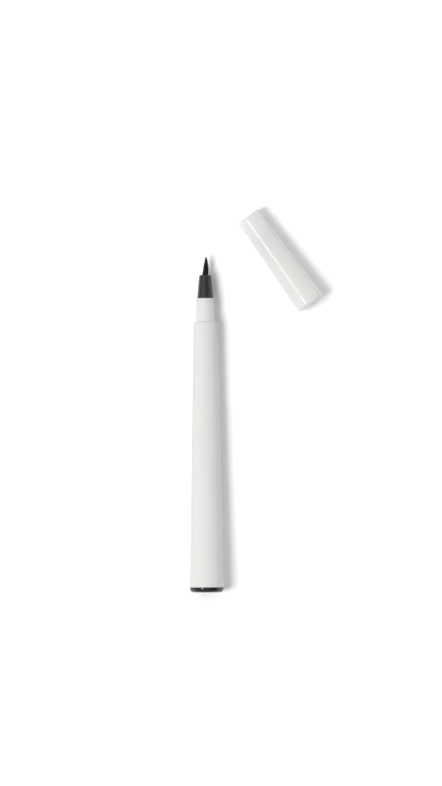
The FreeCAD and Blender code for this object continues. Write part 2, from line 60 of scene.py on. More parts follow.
class Wire:
    """An output of a node. Arithmetic on it adds Math nodes to its tree."""

    def __init__(self, socket):
        self.socket = socket

    def math(self, operation, first, second=0.0):
        sockets = {"Value": first, "Value_001": second}
        return add_node(self.socket.id_data, "ShaderNodeMath", {"operation": operation}, sockets)

    def __add__(self, other):
        return self.math("ADD", self, other)

    def __sub__(self, other):
        return self.math("SUBTRACT", self, other)

    def __rsub__(self, other):
        return self.math("SUBTRACT", other, self)

    def __mul__(self, other):
        return self.math("MULTIPLY", self, other)

    def __truediv__(self, other):
        return self.math("DIVIDE", self, other)

    __radd__ = __add__
    __rmul__ = __mul__

    def outputs(self):
        """Every output of the same node."""
        return [Wire(socket) for socket in self.socket.node.outputs]

    def root(self):
        return self.math("SQRT", self)

    def sine(self):
        return self.math("SINE", self)

    def cosine(self):
        return self.math("COSINE", self)

    def most(self, other):
        return self.math("MAXIMUM", self, other)

    def between(self, low, high):
        """Rises smoothly from 0 at low to 1 at high."""
        sockets = {"Value": self, "From Min": low, "From Max": high}
        settings = {"interpolation_type": "SMOOTHSTEP"}
        return add_node(self.socket.id_data, "ShaderNodeMapRange", settings, sockets)


def add_node(tree, kind, settings=None, sockets=None, output=None):
    """Adds a node: first its settings, then the values or links of its sockets.

    Returns the named output, or else the first one in use.
    """
    node = tree.nodes.new(kind)
    for name, value in (settings or {}).items():
        setattr(node, name, value)
    by_identifier = {socket.identifier: socket for socket in node.inputs}
    for identifier, value in (sockets or {}).items():
        if isinstance(value, Wire):
            tree.links.new(value.socket, by_identifier[identifier])
        else:
            by_identifier[identifier].default_value = value
    in_use = [socket for socket in node.outputs if socket.enabled]
    return Wire(node.outputs[output] if output else in_use[0]) if in_use else None


def bare_tree(owner):
    """The emptied node tree of a material or a world."""
    owner.use_nodes = True
    owner.node_tree.nodes.clear()
    return owner.node_tree


def own_place(point, axis):
    """Where a turned piece stands: its own Z runs along the axis from a point on it."""
    return Matrix.Translation(point) @ Vector(axis).to_track_quat("Z", "Y").to_matrix().to_4x4()


def reach(node, place):
    """Lowest and highest station of a node along its own axis, and its largest radius."""
    inverse = place.inverted()
    points = [inverse @ vertex.co for vertex in nodes[node].data.vertices]
    stations = [point.z for point in points]
    return min(stations), max(stations), max(point.xy.length for point in points)


# How much finer detail a noise carries within its patches
PLAIN, FINE, FINEST = 2.0, 3.0, 4.0
UNSTRETCHED = (1, 1, 1)


class Finish:
    """A material in the making, on a piece's own coordinates."""

    def __init__(self, name, place):
        self.material = bpy.data.materials.new(name)
        self.tree = bare_tree(self.material)
        self.place = place
        self.seen = self.node("ShaderNodeTexCoord", output="Object")
        self.own = self.stretched(UNSTRETCHED)
        split = self.node("ShaderNodeSeparateXYZ", None, {"Vector": self.own})
        self.across, self.over, self.station = split.outputs()

    def node(self, kind, settings=None, sockets=None, output=None):
        return add_node(self.tree, kind, settings, sockets, output)

    def stretched(self, scale):
        """The piece's own coordinates, with a pattern on them drawn out by these factors."""
        sockets = {
            "Vector": self.seen,
            "Location": self.place.to_translation(),
            "Rotation": self.place.to_euler(),
            "Scale": scale,
        }
        return self.node("ShaderNodeMapping", {"vector_type": "TEXTURE"}, sockets)

    def noise(self, size, detail=PLAIN, on=None):
        """Soft noise from 0 to 1 in patches of about a size."""
        sockets = {"Vector": on or self.own, "Scale": 1 / size, "Detail": detail}
        return self.node("ShaderNodeTexNoise", None, sockets)

    def blend(self, share, first, second):
        """A colour between two, which are colours or wires."""
        sockets = {"Factor_Float": share, "A_Color": first, "B_Color": second}
        return self.node("ShaderNodeMix", {"data_type": "RGBA"}, sockets)

    def raised(self, height, depth):
        """The surface normal under a relief of a depth."""
        return self.node("ShaderNodeBump", None, {"Height": height, "Distance": depth})

    def end(self, sockets):
        """Joins a shader with these sockets to the material and returns the material."""
        shader = self.node("ShaderNodeBsdfPrincipled", None, sockets)
        self.node("ShaderNodeOutputMaterial", None, {"Surface": shader})
        return self.material


def dress(node, material):
    """Gives a node its finish."""
    for slot in nodes[node].material_slots:
        slot.material = material


PLASTIC_INDEX = 1.49
BARREL_WHITE = (0.725, 0.719, 0.708, 1)
BARREL_SHADE = (0.705, 0.698, 0.684, 1)
BARREL_CLOUD = 0.018
BARREL_CLOUD_SHARE = 0.6
FLOW_LINE_WIDTH = 0.0007
FLOW_LINE_DRAW = (1, 1, 40)
FLOW_LINE_SHARE = 0.4
FLOW_LINE_HEIGHT = 0.5
BLASTED_GRAIN = 0.00016
BARREL_RELIEF = 0.000006
HANDLED_PATCH = 0.006
RIM_FADE = (0.0005, 0.0012)
RIM_ROUGHNESS = 0.30
SKIN_ROUGHER = 0.18
HANDLED_ROUGHER = 0.12
BARREL_GLOSS = 0.3

pen_place = own_place(mounts["tail_face"]["pos_m"], -Vector(mounts["tail_face"]["axis"]))
barrel_tail = reach("barrel", pen_place)[0]

satin = Finish("barrel_white", pen_place)
flow = satin.noise(FLOW_LINE_WIDTH, FINE, satin.stretched(FLOW_LINE_DRAW))
cloud = satin.noise(BARREL_CLOUD)
handled = satin.noise(HANDLED_PATCH, FINEST)
off_rim = satin.station.between(barrel_tail + RIM_FADE[0], barrel_tail + RIM_FADE[1])
barrel_tint = cloud * BARREL_CLOUD_SHARE + flow * FLOW_LINE_SHARE
dress("barrel", satin.end({
    "Base Color": satin.blend(barrel_tint, BARREL_WHITE, BARREL_SHADE),
    "Roughness": RIM_ROUGHNESS + off_rim * SKIN_ROUGHER + handled * HANDLED_ROUGHER,
    "Normal": satin.raised(satin.noise(BLASTED_GRAIN) + flow * FLOW_LINE_HEIGHT, BARREL_RELIEF),
    "Specular IOR Level": BARREL_GLOSS,
    "IOR": PLASTIC_INDEX,
}))


# End plug: the glossy disc that shuts the tail, moulded in black styrene in a polished tool.
# A hollow spigot behind it snaps into the barrel, and the face picks up faint smears from handling.

STYRENE_INDEX = 1.55
PLUG_BLACK = (0.010, 0.010, 0.0105, 1)
PLUG_HAZE = (0.018, 0.018, 0.0185, 1)
SMEAR_PATCH = 0.0035
SMEAR_HAZY = (0.45, 0.75)
SMEAR_DULL = (0.4, 0.8)
SCUFF_WIDTH = 0.0004
SCUFF_DRAW = (6, 1, 1)
SCUFF_DEEP = (0.62, 0.75)
PLUG_ROUGHNESS = 0.06
SMEAR_ROUGHER = 0.08
SCUFF_ROUGHER = 0.1
PLUG_WAVE = 0.0016
PLUG_RELIEF = 0.000004
PLUG_GLOSS = 0.58

gloss = Finish("plug_black", pen_place)
smear = gloss.noise(SMEAR_PATCH, FINEST)
scuff = gloss.noise(SCUFF_WIDTH, PLAIN, gloss.stretched(SCUFF_DRAW)).between(*SCUFF_DEEP)
smear_dull = smear.between(*SMEAR_DULL)
dress("end_plug", gloss.end({
    "Base Color": gloss.blend(smear.between(*SMEAR_HAZY), PLUG_BLACK, PLUG_HAZE),
    "Roughness": PLUG_ROUGHNESS + smear_dull * SMEAR_ROUGHER + scuff * SCUFF_ROUGHER,
    "Normal": gloss.raised(gloss.noise(PLUG_WAVE), PLUG_RELIEF),
    "Specular IOR Level": PLUG_GLOSS,
    "IOR": STYRENE_INDEX,
}))


# Ink tank and its stopper: a drawn tube and a soft cup, both in natural polypropylene.
# The stopper is pressed into the tube's tail. Ink wets the inside, darkest towards the front.

TANK_NATURAL = (0.78, 0.79, 0.76, 1)
TANK_INKED = (0.10, 0.10, 0.105, 1)
DRAW_LINE_WIDTH = 0.0004
DRAW_LINE_DRAW = (1, 1, 60)
INK_EDGE_PATCH = 0.007
INK_EDGE_SWAY = 0.02
TANK_ROUGHNESS = 0.28
DRAW_LINE_ROUGHER = 0.14
TANK_RELIEF = 0.000008
TANK_CLEARNESS = 0.25
STOPPER_NATURAL = (0.76, 0.76, 0.72, 1)
STOPPER_SHADE = (0.66, 0.66, 0.61, 1)
STOPPER_PATCH = 0.003
STOPPER_RUB = 0.0012
STOPPER_ROUGHNESS = 0.4
STOPPER_RUB_ROUGHER = 0.2
STOPPER_GRAIN = 0.0003
STOPPER_RELIEF = 0.000008
STOPPER_MILKINESS = 0.2
STOPPER_MILKY_DEPTH = 0.001

tank_tail, tank_front = reach("ink_tank", pen_place)[:2]

drawn = Finish("tank_natural", pen_place)
draw_line = drawn.noise(DRAW_LINE_WIDTH, PLAIN, drawn.stretched(DRAW_LINE_DRAW))
ink_edge = drawn.station + drawn.noise(INK_EDGE_PATCH, FINE) * INK_EDGE_SWAY
wetted = ink_edge.between(tank_tail, tank_front + INK_EDGE_SWAY)
dress("ink_tank", drawn.end({
    "Base Color": drawn.blend(wetted, TANK_NATURAL, TANK_INKED),
    "Roughness": TANK_ROUGHNESS + draw_line * DRAW_LINE_ROUGHER,
    "Normal": drawn.raised(draw_line, TANK_RELIEF),
    "IOR": PLASTIC_INDEX,
    "Transmission Weight": TANK_CLEARNESS,
}))

soft = Finish("stopper_natural", pen_place)
dress("tank_stopper", soft.end({
    "Base Color": soft.blend(soft.noise(STOPPER_PATCH, FINE), STOPPER_NATURAL, STOPPER_SHADE),
    "Roughness": STOPPER_ROUGHNESS + soft.noise(STOPPER_RUB, FINE) * STOPPER_RUB_ROUGHER,
    "Normal": soft.raised(soft.noise(STOPPER_GRAIN), STOPPER_RELIEF),
    "Subsurface Weight": STOPPER_MILKINESS,
    "Subsurface Scale": STOPPER_MILKY_DEPTH,
    "IOR": PLASTIC_INDEX,
}))


# Mixing ball: a loose bearing ball in stainless steel that stirs the ink when the pen is shaken.
# It is ground and tumbled bright, with hair scratches and a thin film of ink.

BALL_BRIGHT = (0.72, 0.72, 0.73, 1)
BALL_INKED = (0.16, 0.16, 0.17, 1)
SCRATCH_WIDTH = 0.00012
SCRATCH_DRAW = (8, 1, 1)
BALL_FILM_PATCH = 0.0014
BALL_FILM_EDGE = (0.5, 0.7)
BALL_FILM_SHARE = 0.5
BALL_ROUGHNESS = 0.07
SCRATCH_ROUGHER = 0.1
BALL_FILM_ROUGHER = 0.15
SCRATCH_RELIEF = 0.000002

tumbled = Finish("ball_steel", pen_place)
scratch = tumbled.noise(SCRATCH_WIDTH, FINEST, tumbled.stretched(SCRATCH_DRAW))
film = tumbled.noise(BALL_FILM_PATCH, FINE).between(*BALL_FILM_EDGE)
dress("mixing_ball", tumbled.end({
    "Base Color": tumbled.blend(film * BALL_FILM_SHARE, BALL_BRIGHT, BALL_INKED),
    "Metallic": 1.0,
    "Roughness": BALL_ROUGHNESS + scratch * SCRATCH_ROUGHER + film * BALL_FILM_ROUGHER,
    "Normal": tumbled.raised(scratch, SCRATCH_RELIEF),
}))


# Collar: the neck that the cap slides over, moulded in the barrel's white and pressed into its front.
# The cap rubs fine rings round it, which are a shade greyer and smoother than the skin.

COLLAR_WHITE = (0.720, 0.718, 0.712, 1)
COLLAR_RUBBED = (0.690, 0.686, 0.678, 1)
RING_WIDTH = 0.00018
RING_DRAW = (60, 60, 1)
RING_SHARE = 0.7
RUB_PATCH = 0.003
RUB_PATCH_SHARE = 0.3
WORN_EDGE = (0.45, 0.7)
WORN_SHARE = 0.7
COLLAR_ROUGHNESS = 0.42
WORN_SMOOTHER = 0.14
RING_HEIGHT = 0.6
COLLAR_RELIEF = 0.000005

rubbed = Finish("collar_white", pen_place)
ring = rubbed.noise(RING_WIDTH, FINE, rubbed.stretched(RING_DRAW))
patch = rubbed.noise(RUB_PATCH, FINE)
worn = (ring * RING_SHARE + patch * RUB_PATCH_SHARE).between(*WORN_EDGE)
dress("collar", rubbed.end({
    "Base Color": rubbed.blend(worn * WORN_SHARE, COLLAR_WHITE, COLLAR_RUBBED),
    "Roughness": COLLAR_ROUGHNESS - worn * WORN_SMOOTHER,
    "Normal": rubbed.raised(rubbed.noise(BLASTED_GRAIN) + ring * RING_HEIGHT, COLLAR_RELIEF),
    "IOR": PLASTIC_INDEX,
}))


# Collector: a comb of thin fins in black styrene that holds surplus ink back by its narrow gaps.
# It slides into the collar, with the wick through its middle. Its fins are glossy where ink wets them.

COMB_BLACK = (0.030, 0.030, 0.033, 1)
COMB_WET = (0.008, 0.008, 0.010, 1)
COMB_FILM_PATCH = 0.002
COMB_FILM_EDGE = (0.35, 0.65)
COMB_ROUGHNESS = 0.45
COMB_FILM_SMOOTHER = 0.3
COMB_GRAIN = 0.0002
COMB_RELIEF = 0.000006

comb = Finish("collector_black", pen_place)
ink_film = comb.noise(COMB_FILM_PATCH, FINE).between(*COMB_FILM_EDGE)
dress("collector", comb.end({
    "Base Color": comb.blend(ink_film, COMB_BLACK, COMB_WET),
    "Roughness": COMB_ROUGHNESS - ink_film * COMB_FILM_SMOOTHER,
    "Normal": comb.raised(comb.noise(COMB_GRAIN), COMB_RELIEF),
    "IOR": STYRENE_INDEX,
}))


# Feed wick: a rod of bonded polyester fibres, which draws ink from the tank to the brush.
# The fibres run along it, and the ink has stained them in uneven streaks.

WICK_STAINED = (0.035, 0.035, 0.042, 1)
WICK_FIBRE = (0.12, 0.12, 0.13, 1)
FIBRE_WIDTH = 0.00008
FIBRE_DRAW = (1, 1, 30)
FIBRE_SHARE = 0.5
STAIN_WIDTH = 0.0012
STAIN_DRAW = (1, 1, 6)
STAIN_SHARE = 0.5
WICK_ROUGHNESS = 0.7
FIBRE_ROUGHER = 0.25
FIBRE_RELIEF = 0.00003

bonded = Finish("wick_fibre", pen_place)
fibre = bonded.noise(FIBRE_WIDTH, FINE, bonded.stretched(FIBRE_DRAW))
stain = bonded.noise(STAIN_WIDTH, FINE, bonded.stretched(STAIN_DRAW))
wick_tint = fibre * FIBRE_SHARE + stain * STAIN_SHARE
dress("feed_wick", bonded.end({
    "Base Color": bonded.blend(wick_tint, WICK_STAINED, WICK_FIBRE),
    "Roughness": WICK_ROUGHNESS + fibre * FIBRE_ROUGHER,
    "Normal": bonded.raised(fibre, FIBRE_RELIEF),
}))


# Nib holder: the cone that grips the brush, moulded in black with a satin grain.
# A vented plug under it is pressed into the collar. Its nose is worn a little smoother than its flank.

HOLDER_INDEX = 1.5
HOLDER_BLACK = (0.0170, 0.0167, 0.0167, 1)
HOLDER_SHADE = (0.0215, 0.0212, 0.0212, 1)
HOLDER_MOTTLE = 0.002
NOSE_WEAR_LENGTH = 0.0012
HOLDER_ROUGHNESS = 0.28
PEBBLE_ROUGHER = 0.06
NOSE_SMOOTHER = 0.06
HOLDER_RELIEF = 0.000008

holder_nose = reach("nib_holder", pen_place)[1]

grained = Finish("holder_black", pen_place)
pebble = grained.noise(BLASTED_GRAIN, FINE)
mottle = grained.noise(HOLDER_MOTTLE, FINE)
nose = grained.station.between(holder_nose - NOSE_WEAR_LENGTH, holder_nose)
dress("nib_holder", grained.end({
    "Base Color": grained.blend(mottle, HOLDER_BLACK, HOLDER_SHADE),
    "Roughness": HOLDER_ROUGHNESS + pebble * PEBBLE_ROUGHER - nose * NOSE_SMOOTHER,
    "Normal": grained.raised(pebble, HOLDER_RELIEF),
    "IOR": HOLDER_INDEX,
}))


# Brush: about four hundred tapered polyester filaments, wet with black ink and drawn to a point.
# Their roots are fused into a flange, which the holder traps against the collector.

INK_INDEX = 1.3
INK_BLACK = (0.0035, 0.0035, 0.004, 1)
INK_PAINTED_SHEEN = (0.023, 0.023, 0.023, 1)
STRAND_WIDTH = 0.00007
STRAND_DRAW = (1, 1, 25)
STRAND_SHARE = 0.7
DAMP_PATCH = 0.0012
DAMP_SHARE = 0.3
DAMP_EDGE = (0.35, 0.7)
DAMP_COAT = 0.12
DAMP_COAT_ROUGHNESS = 0.2
BRUSH_ROUGHNESS = 0.48
STRAND_ROUGHER = 0.2
FILAMENT_COUNT = 420
FILAMENT_SIDES = 5
FILAMENT_RINGS = 8
FILAMENT_RADIUS = 0.000054
FILAMENT_THINNEST = 0.12
FILAMENT_END_SPREAD = 0.05
FILAMENT_WANDER = 0.05
BRUSH_RADIUS = 0.00112
BRUSH_POINT_RADIUS = 0.00014
BRUSH_SUNK = 0.0015
BRUSH_LEAN = 0.00035
GOLDEN_ANGLE = math.pi * (3 - math.sqrt(5))
MIDDLE = 0.5
FLANGE_HEIGHT = 0.0008
FLANGE_SOCKET_RADIUS = 0.00078
FLANGE_STEPS = 96

brush_root, brush_point, flange_radius = reach("brush_tip", pen_place)

inked = Finish("brush_black", pen_place)
strand = inked.noise(STRAND_WIDTH, PLAIN, inked.stretched(STRAND_DRAW))
damp = inked.noise(DAMP_PATCH, FINE)
# The lighter colour in streaks along the strands and in damp patches is painted sheen on the black ink
strand_and_damp_painted_sheen = strand * STRAND_SHARE + damp * DAMP_SHARE
ink_on_filaments = inked.end({
    "Base Color": inked.blend(strand_and_damp_painted_sheen, INK_BLACK, INK_PAINTED_SHEEN),
    "Roughness": BRUSH_ROUGHNESS + strand * STRAND_ROUGHER,
    "Coat Weight": damp.between(*DAMP_EDGE) * DAMP_COAT,
    "Coat Roughness": DAMP_COAT_ROUGHNESS,
    "IOR": INK_INDEX,
})


def new_maker(name, inputs):
    """An empty geometry tree with named inputs. Returns it and a wire for each input."""
    tree = bpy.data.node_groups.new(name, "GeometryNodeTree")
    kinds = {int: "NodeSocketInt", float: "NodeSocketFloat"}
    for label, value in inputs.items():
        tree.interface.new_socket(label, in_out="INPUT", socket_type=kinds[type(value)])
    tree.interface.new_socket("Geometry", in_out="OUTPUT", socket_type="NodeSocketGeometry")
    entry = tree.nodes.new("NodeGroupInput")
    return tree, {label: Wire(entry.outputs[label]) for label in inputs}


def unit_line(tree, points):
    """A straight line of length 1 along Z, with so many points."""
    line = add_node(tree, "GeometryNodeCurvePrimitiveLine", None, {"End": (0, 0, 1)})
    return add_node(tree, "GeometryNodeResampleCurve", None, {"Curve": line, "Count": points})


def set_at(tree, geometry, place):
    """Moves each point of a geometry to X, Y and Z, which are worked out for it."""
    position = add_node(tree, "ShaderNodeCombineXYZ", None, place)
    return add_node(tree, "GeometryNodeSetPosition", None, {"Geometry": geometry, "Position": position})


def round_bar(tree, path, sides, radius, thickness=1.0):
    """A round bar with closed ends along a path. Its thickness is a share of its radius."""
    circle = {"Resolution": sides, "Radius": radius}
    section = add_node(tree, "GeometryNodeCurvePrimitiveCircle", None, circle)
    sockets = {"Curve": path, "Profile Curve": section, "Scale": thickness, "Fill Caps": True}
    return add_node(tree, "GeometryNodeCurveToMesh", None, sockets)


def finish_maker(tree, geometry, material):
    """Smooths, realizes and finishes what the tree has made."""
    smooth = add_node(tree, "GeometryNodeSetShadeSmooth", None, {"Geometry": geometry})
    real = add_node(tree, "GeometryNodeRealizeInstances", None, {"Geometry": smooth})
    done = add_node(tree, "GeometryNodeSetMaterial", None, {"Geometry": real, "Material": material})
    exit_node = tree.nodes.new("NodeGroupOutput")
    tree.links.new(done.socket, exit_node.inputs["Geometry"])


def made_by(name, tree, inputs, place):
    """The object that a tree makes from its inputs, as a plain mesh set in its place."""
    piece = bpy.data.objects.new(name, bpy.data.meshes.new(name))
    scene.collection.objects.link(piece)
    maker = piece.modifiers.new("maker", "NODES")
    maker.node_group = tree
    for item in tree.interface.items_tree:
        if item.in_out == "INPUT":
            maker[item.identifier] = inputs[item.name]
    evaluated = piece.evaluated_get(bpy.context.evaluated_depsgraph_get())
    mesh = bpy.data.meshes.new_from_object(evaluated)
    piece.modifiers.remove(maker)
    piece.data = mesh
    mesh.transform(place)
    return piece


tuft_inputs = {
    "Filaments": FILAMENT_COUNT,
    "Sides": FILAMENT_SIDES,
    "Rings": FILAMENT_RINGS,
    "Filament Radius": FILAMENT_RADIUS,
    "Tuft Radius": BRUSH_RADIUS,
    "Point Radius": BRUSH_POINT_RADIUS,
    "Tuft Length": brush_point - holder_nose,
    "Sunk Length": BRUSH_SUNK,
    "End Spread": FILAMENT_END_SPREAD,
    "Wander": FILAMENT_WANDER,
    "Lean": BRUSH_LEAN,
}
tuft, given = new_maker("brush_tuft", tuft_inputs)

# The roots fill a round evenly, each a golden angle on from the last
number = add_node(tuft, "GeometryNodeInputIndex")
turn = number * GOLDEN_ANGLE
outermost = given["Tuft Radius"] - given["Filament Radius"]
root_radius = outermost * ((number + MIDDLE) / given["Filaments"]).root()
root_sockets = {"X": turn.cosine() * root_radius, "Y": turn.sine() * root_radius}
root_place = add_node(tuft, "ShaderNodeCombineXYZ", None, root_sockets)
point_sockets = {"Count": given["Filaments"], "Position": root_place}
roots = add_node(tuft, "GeometryNodePoints", None, point_sockets)

# A straight unit line stands on each root, and the root tells its own chances apart from the others'
stood_sockets = {"Points": roots, "Instance": unit_line(tuft, given["Rings"])}
stood = add_node(tuft, "GeometryNodeInstanceOnPoints", None, stood_sockets)
lines = add_node(tuft, "GeometryNodeRealizeInstances", None, {"Geometry": stood})
straight = add_node(tuft, "GeometryNodeInputPosition")
across, over, rise = add_node(tuft, "ShaderNodeSeparateXYZ", None, {"Vector": straight}).outputs()
root_sockets = {"X": across / FILAMENT_RADIUS, "Y": over / FILAMENT_RADIUS}
root_only = add_node(tuft, "ShaderNodeCombineXYZ", None, root_sockets)
chances = add_node(tuft, "ShaderNodeTexWhiteNoise", None, {"Vector": root_only}, "Color")
chance = add_node(tuft, "ShaderNodeSeparateXYZ", None, {"Vector": chances})
shortness, straying = chance.outputs()[:2]

# The lines are bent onto the tuft's bowed outline, end unevenly and lean to one side at the point
full = given["Tuft Length"] * (1 - shortness * shortness * given["End Spread"])
height = (full + given["Sunk Length"]) * rise - given["Sunk Length"]
above = height.most(0.0)
drop = given["Tuft Radius"] - given["Point Radius"]
bow = (drop * drop + given["Tuft Length"] * given["Tuft Length"]) / (drop * 2)
draw_in = 1 - (bow - (bow * bow - above * above).root()) / given["Tuft Radius"]
wander = 1 + (straying - MIDDLE) * given["Wander"] * rise
left_share = 1 - above / given["Tuft Length"]
leaning = (1 - left_share * left_share * left_share * left_share) * given["Lean"]
filaments = set_at(tuft, lines, {
    "X": across * draw_in * wander - leaning,
    "Y": over * draw_in * wander,
    "Z": height,
})
thinned = draw_in.most(FILAMENT_THINNEST)
bars = round_bar(tuft, filaments, given["Sides"], given["Filament Radius"], thinned)
finish_maker(tuft, bars, ink_on_filaments)

brush_place = pen_place @ Matrix.Translation((0, 0, holder_nose))
brush = made_by("brush_filaments", tuft, tuft_inputs, brush_place)
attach(brush, "pen")
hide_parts("brush_tip")


def turned(name, outline, steps, place, material):
    """A closed ring turned from (radius, station) points and set in its place."""
    shape = bmesh.new()
    rings = []
    for step in range(steps):
        angle = math.tau * step / steps
        x, y = math.cos(angle), math.sin(angle)
        rings.append([shape.verts.new((radius * x, radius * y, station)) for radius, station in outline])
    count = len(outline)
    for step in range(steps):
        here, there = rings[step], rings[(step + 1) % steps]
        for point in range(count):
            following = (point + 1) % count
            shape.faces.new((here[point], there[point], there[following], here[following]))
    bmesh.ops.recalc_face_normals(shape, faces=shape.faces)
    mesh = bpy.data.meshes.new(name)
    shape.to_mesh(mesh)
    shape.free()
    mesh.transform(place)
    mesh.materials.append(material)
    piece = bpy.data.objects.new(name, mesh)
    scene.collection.objects.link(piece)
    return piece


flange_top = brush_root + FLANGE_HEIGHT
flange_end = holder_nose - BRUSH_SUNK
flange_outline = [
    (FLANGE_SOCKET_RADIUS, brush_root),
    (flange_radius, brush_root),
    (flange_radius, flange_top),
    (BRUSH_RADIUS, flange_top),
    (BRUSH_RADIUS, flange_end),
    (FLANGE_SOCKET_RADIUS, flange_end),
]
flange = turned("brush_flange", flange_outline, FLANGE_STEPS, pen_place, ink_on_filaments)
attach(flange, "pen")


# Cap: the flared shell that covers the brush, moulded in milky white polypropylene in a polished tool.
# Its wall lets a little light in, its skin has faint waves of shrinkage, and its mouth is rubbed.

MILLIMETRE = 0.001
CAP_MILKY = (0.782, 0.777, 0.764, 1)
CAP_DENSE = (0.762, 0.756, 0.740, 1)
CAP_DENSE_PATCH = 0.012
TOUCH_PATCH = 0.004
TOUCH_EDGE = (0.5, 0.8)
HAIR_WIDTH = 0.00025
HAIR_DRAW = (1, 1, 20)
HAIR_EDGE = (0.6, 0.75)
MOUTH_WEAR_LENGTH = 0.0012
CAP_ROUGHNESS = 0.10
TOUCH_ROUGHER = 0.04
HAIR_ROUGHER = 0.05
MOUTH_ROUGHER = 0.12
SHRINK_WAVE = 0.0045
SHRINK_RELIEF = 0.000006
CAP_GLOSS = 0.5
CAP_MILKINESS = 0.85
CAP_MILKY_SPREAD = (1.0, 0.95, 0.85)
CAP_MILKY_DEPTH = 0.0018

mouth = mounts["cap_mouth"]
cap_axis = -Vector(mouth["axis"])
mouth_length = mouth["dims"]["length_mm"] * MILLIMETRE
mouth_centre = Vector(mouth["pos_m"]) - cap_axis * (mouth_length / 2)
cap_place = own_place(mouth_centre, cap_axis)

milky = Finish("cap_milky", cap_place)
dense = milky.noise(CAP_DENSE_PATCH)
touched = milky.noise(TOUCH_PATCH, FINEST).between(*TOUCH_EDGE)
hair = milky.noise(HAIR_WIDTH, FINE, milky.stretched(HAIR_DRAW)).between(*HAIR_EDGE)
at_mouth = 1 - milky.station.between(0.0, MOUTH_WEAR_LENGTH)
cap_marks = touched * TOUCH_ROUGHER + hair * HAIR_ROUGHER + at_mouth * MOUTH_ROUGHER
dress("cap_shell", milky.end({
    "Base Color": milky.blend(dense, CAP_MILKY, CAP_DENSE),
    "Roughness": CAP_ROUGHNESS + cap_marks,
    "Normal": milky.raised(milky.noise(SHRINK_WAVE), SHRINK_RELIEF),
    "Specular IOR Level": CAP_GLOSS,
    "Subsurface Weight": CAP_MILKINESS,
    "Subsurface Radius": CAP_MILKY_SPREAD,
    "Subsurface Scale": CAP_MILKY_DEPTH,
    "IOR": PLASTIC_INDEX,
}))


# Seal spring: stainless wire wound in six turns, close at the ends and open between.
# It sits on bosses of the inner cap and the cap's end, and pushes the inner cap forward.

WIRE_BRIGHT = (0.60, 0.60, 0.61, 1)
WIRE_DULL = (0.42, 0.42, 0.43, 1)
DULL_PATCH = 0.0015
DIE_LINE_WIDTH = 0.00006
WIRE_ROUGHNESS = 0.22
DIE_LINE_ROUGHER = 0.16
WIRE_RELIEF = 0.000003
SPRING_TURNS = 6
SPRING_POINTS_PER_TURN = 40
SPRING_WIRE_SIDES = 14
SPRING_WIRE_RADIUS = 0.000175
SPRING_CLOSED_ENDS = 0.8

spring_front, spring_back, spring_radius = reach("seal_spring", cap_place)
spring_length = spring_back - spring_front

wire = Finish("spring_steel", cap_place)
die_line = wire.noise(DIE_LINE_WIDTH, FINE)
drawn_wire = wire.end({
    "Base Color": wire.blend(wire.noise(DULL_PATCH, FINE), WIRE_BRIGHT, WIRE_DULL),
    "Metallic": 1.0,
    "Roughness": WIRE_ROUGHNESS + die_line * DIE_LINE_ROUGHER,
    "Normal": wire.raised(die_line, WIRE_RELIEF),
})

coil_inputs = {
    "Points": SPRING_TURNS * SPRING_POINTS_PER_TURN + 1,
    "Sides": SPRING_WIRE_SIDES,
    "Turns": float(SPRING_TURNS),
    "Coil Radius": spring_radius - SPRING_WIRE_RADIUS,
    "Wire Radius": SPRING_WIRE_RADIUS,
    "Rise": spring_length - 2 * SPRING_WIRE_RADIUS,
    "Closed Ends": SPRING_CLOSED_ENDS,
}
coil, given = new_maker("seal_spring_coil", coil_inputs)
share = add_node(coil, "GeometryNodeSplineParameter", output="Factor")
turn = share * given["Turns"] * math.tau
climb = share - (share * math.tau).sine() * given["Closed Ends"] / math.tau
helix = set_at(coil, unit_line(coil, given["Points"]), {
    "X": turn.cosine() * given["Coil Radius"],
    "Y": turn.sine() * given["Coil Radius"],
    "Z": climb * given["Rise"],
})
finish_maker(coil, round_bar(coil, helix, given["Sides"], given["Wire Radius"]), drawn_wire)

spring_place = cap_place @ Matrix.Translation((0, 0, spring_front + SPRING_WIRE_RADIUS))
spring = made_by("seal_spring_wire", coil, coil_inputs, spring_place)
spring_anchor = cap_place @ Vector((0, 0, spring_back))
press = next(joint for joint in frame["joints"] if joint["name"] == "inner_cap_press")
spring_keep = 1 - press["range_m"][1] / spring_length
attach(spring, "cap")
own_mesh(spring)
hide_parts("seal_spring")


# Inner cap: the cup in natural polyethylene that closes on the collar's front and keeps the brush wet.
# The cap's step holds it back and the spring pushes it forward.
# Ink has smudged the well that the brush sits in.

CUP_INDEX = 1.51
CUP_NATURAL = (0.79, 0.79, 0.765, 1)
CUP_SHADE = (0.74, 0.74, 0.71, 1)
CUP_SMUDGE = (0.10, 0.10, 0.105, 1)
CUP_PATCH = 0.004
WELL_WALL = (0.0018, 0.0024)
WELL_DEPTH = (0.004, 0.009)
SMUDGE_PATCH = 0.0016
SMUDGE_EDGE = (0.45, 0.65)
SMUDGE_SHARE = 0.8
CUP_RUB = 0.001
CUP_ROUGHNESS = 0.36
CUP_RUB_ROUGHER = 0.16
SMUDGE_SMOOTHER = 0.15
CUP_GRAIN = 0.0003
CUP_RELIEF = 0.000006
CUP_MILKINESS = 0.25
CUP_MILKY_DEPTH = 0.0008

cup_rim = reach("inner_cap", cap_place)[0]

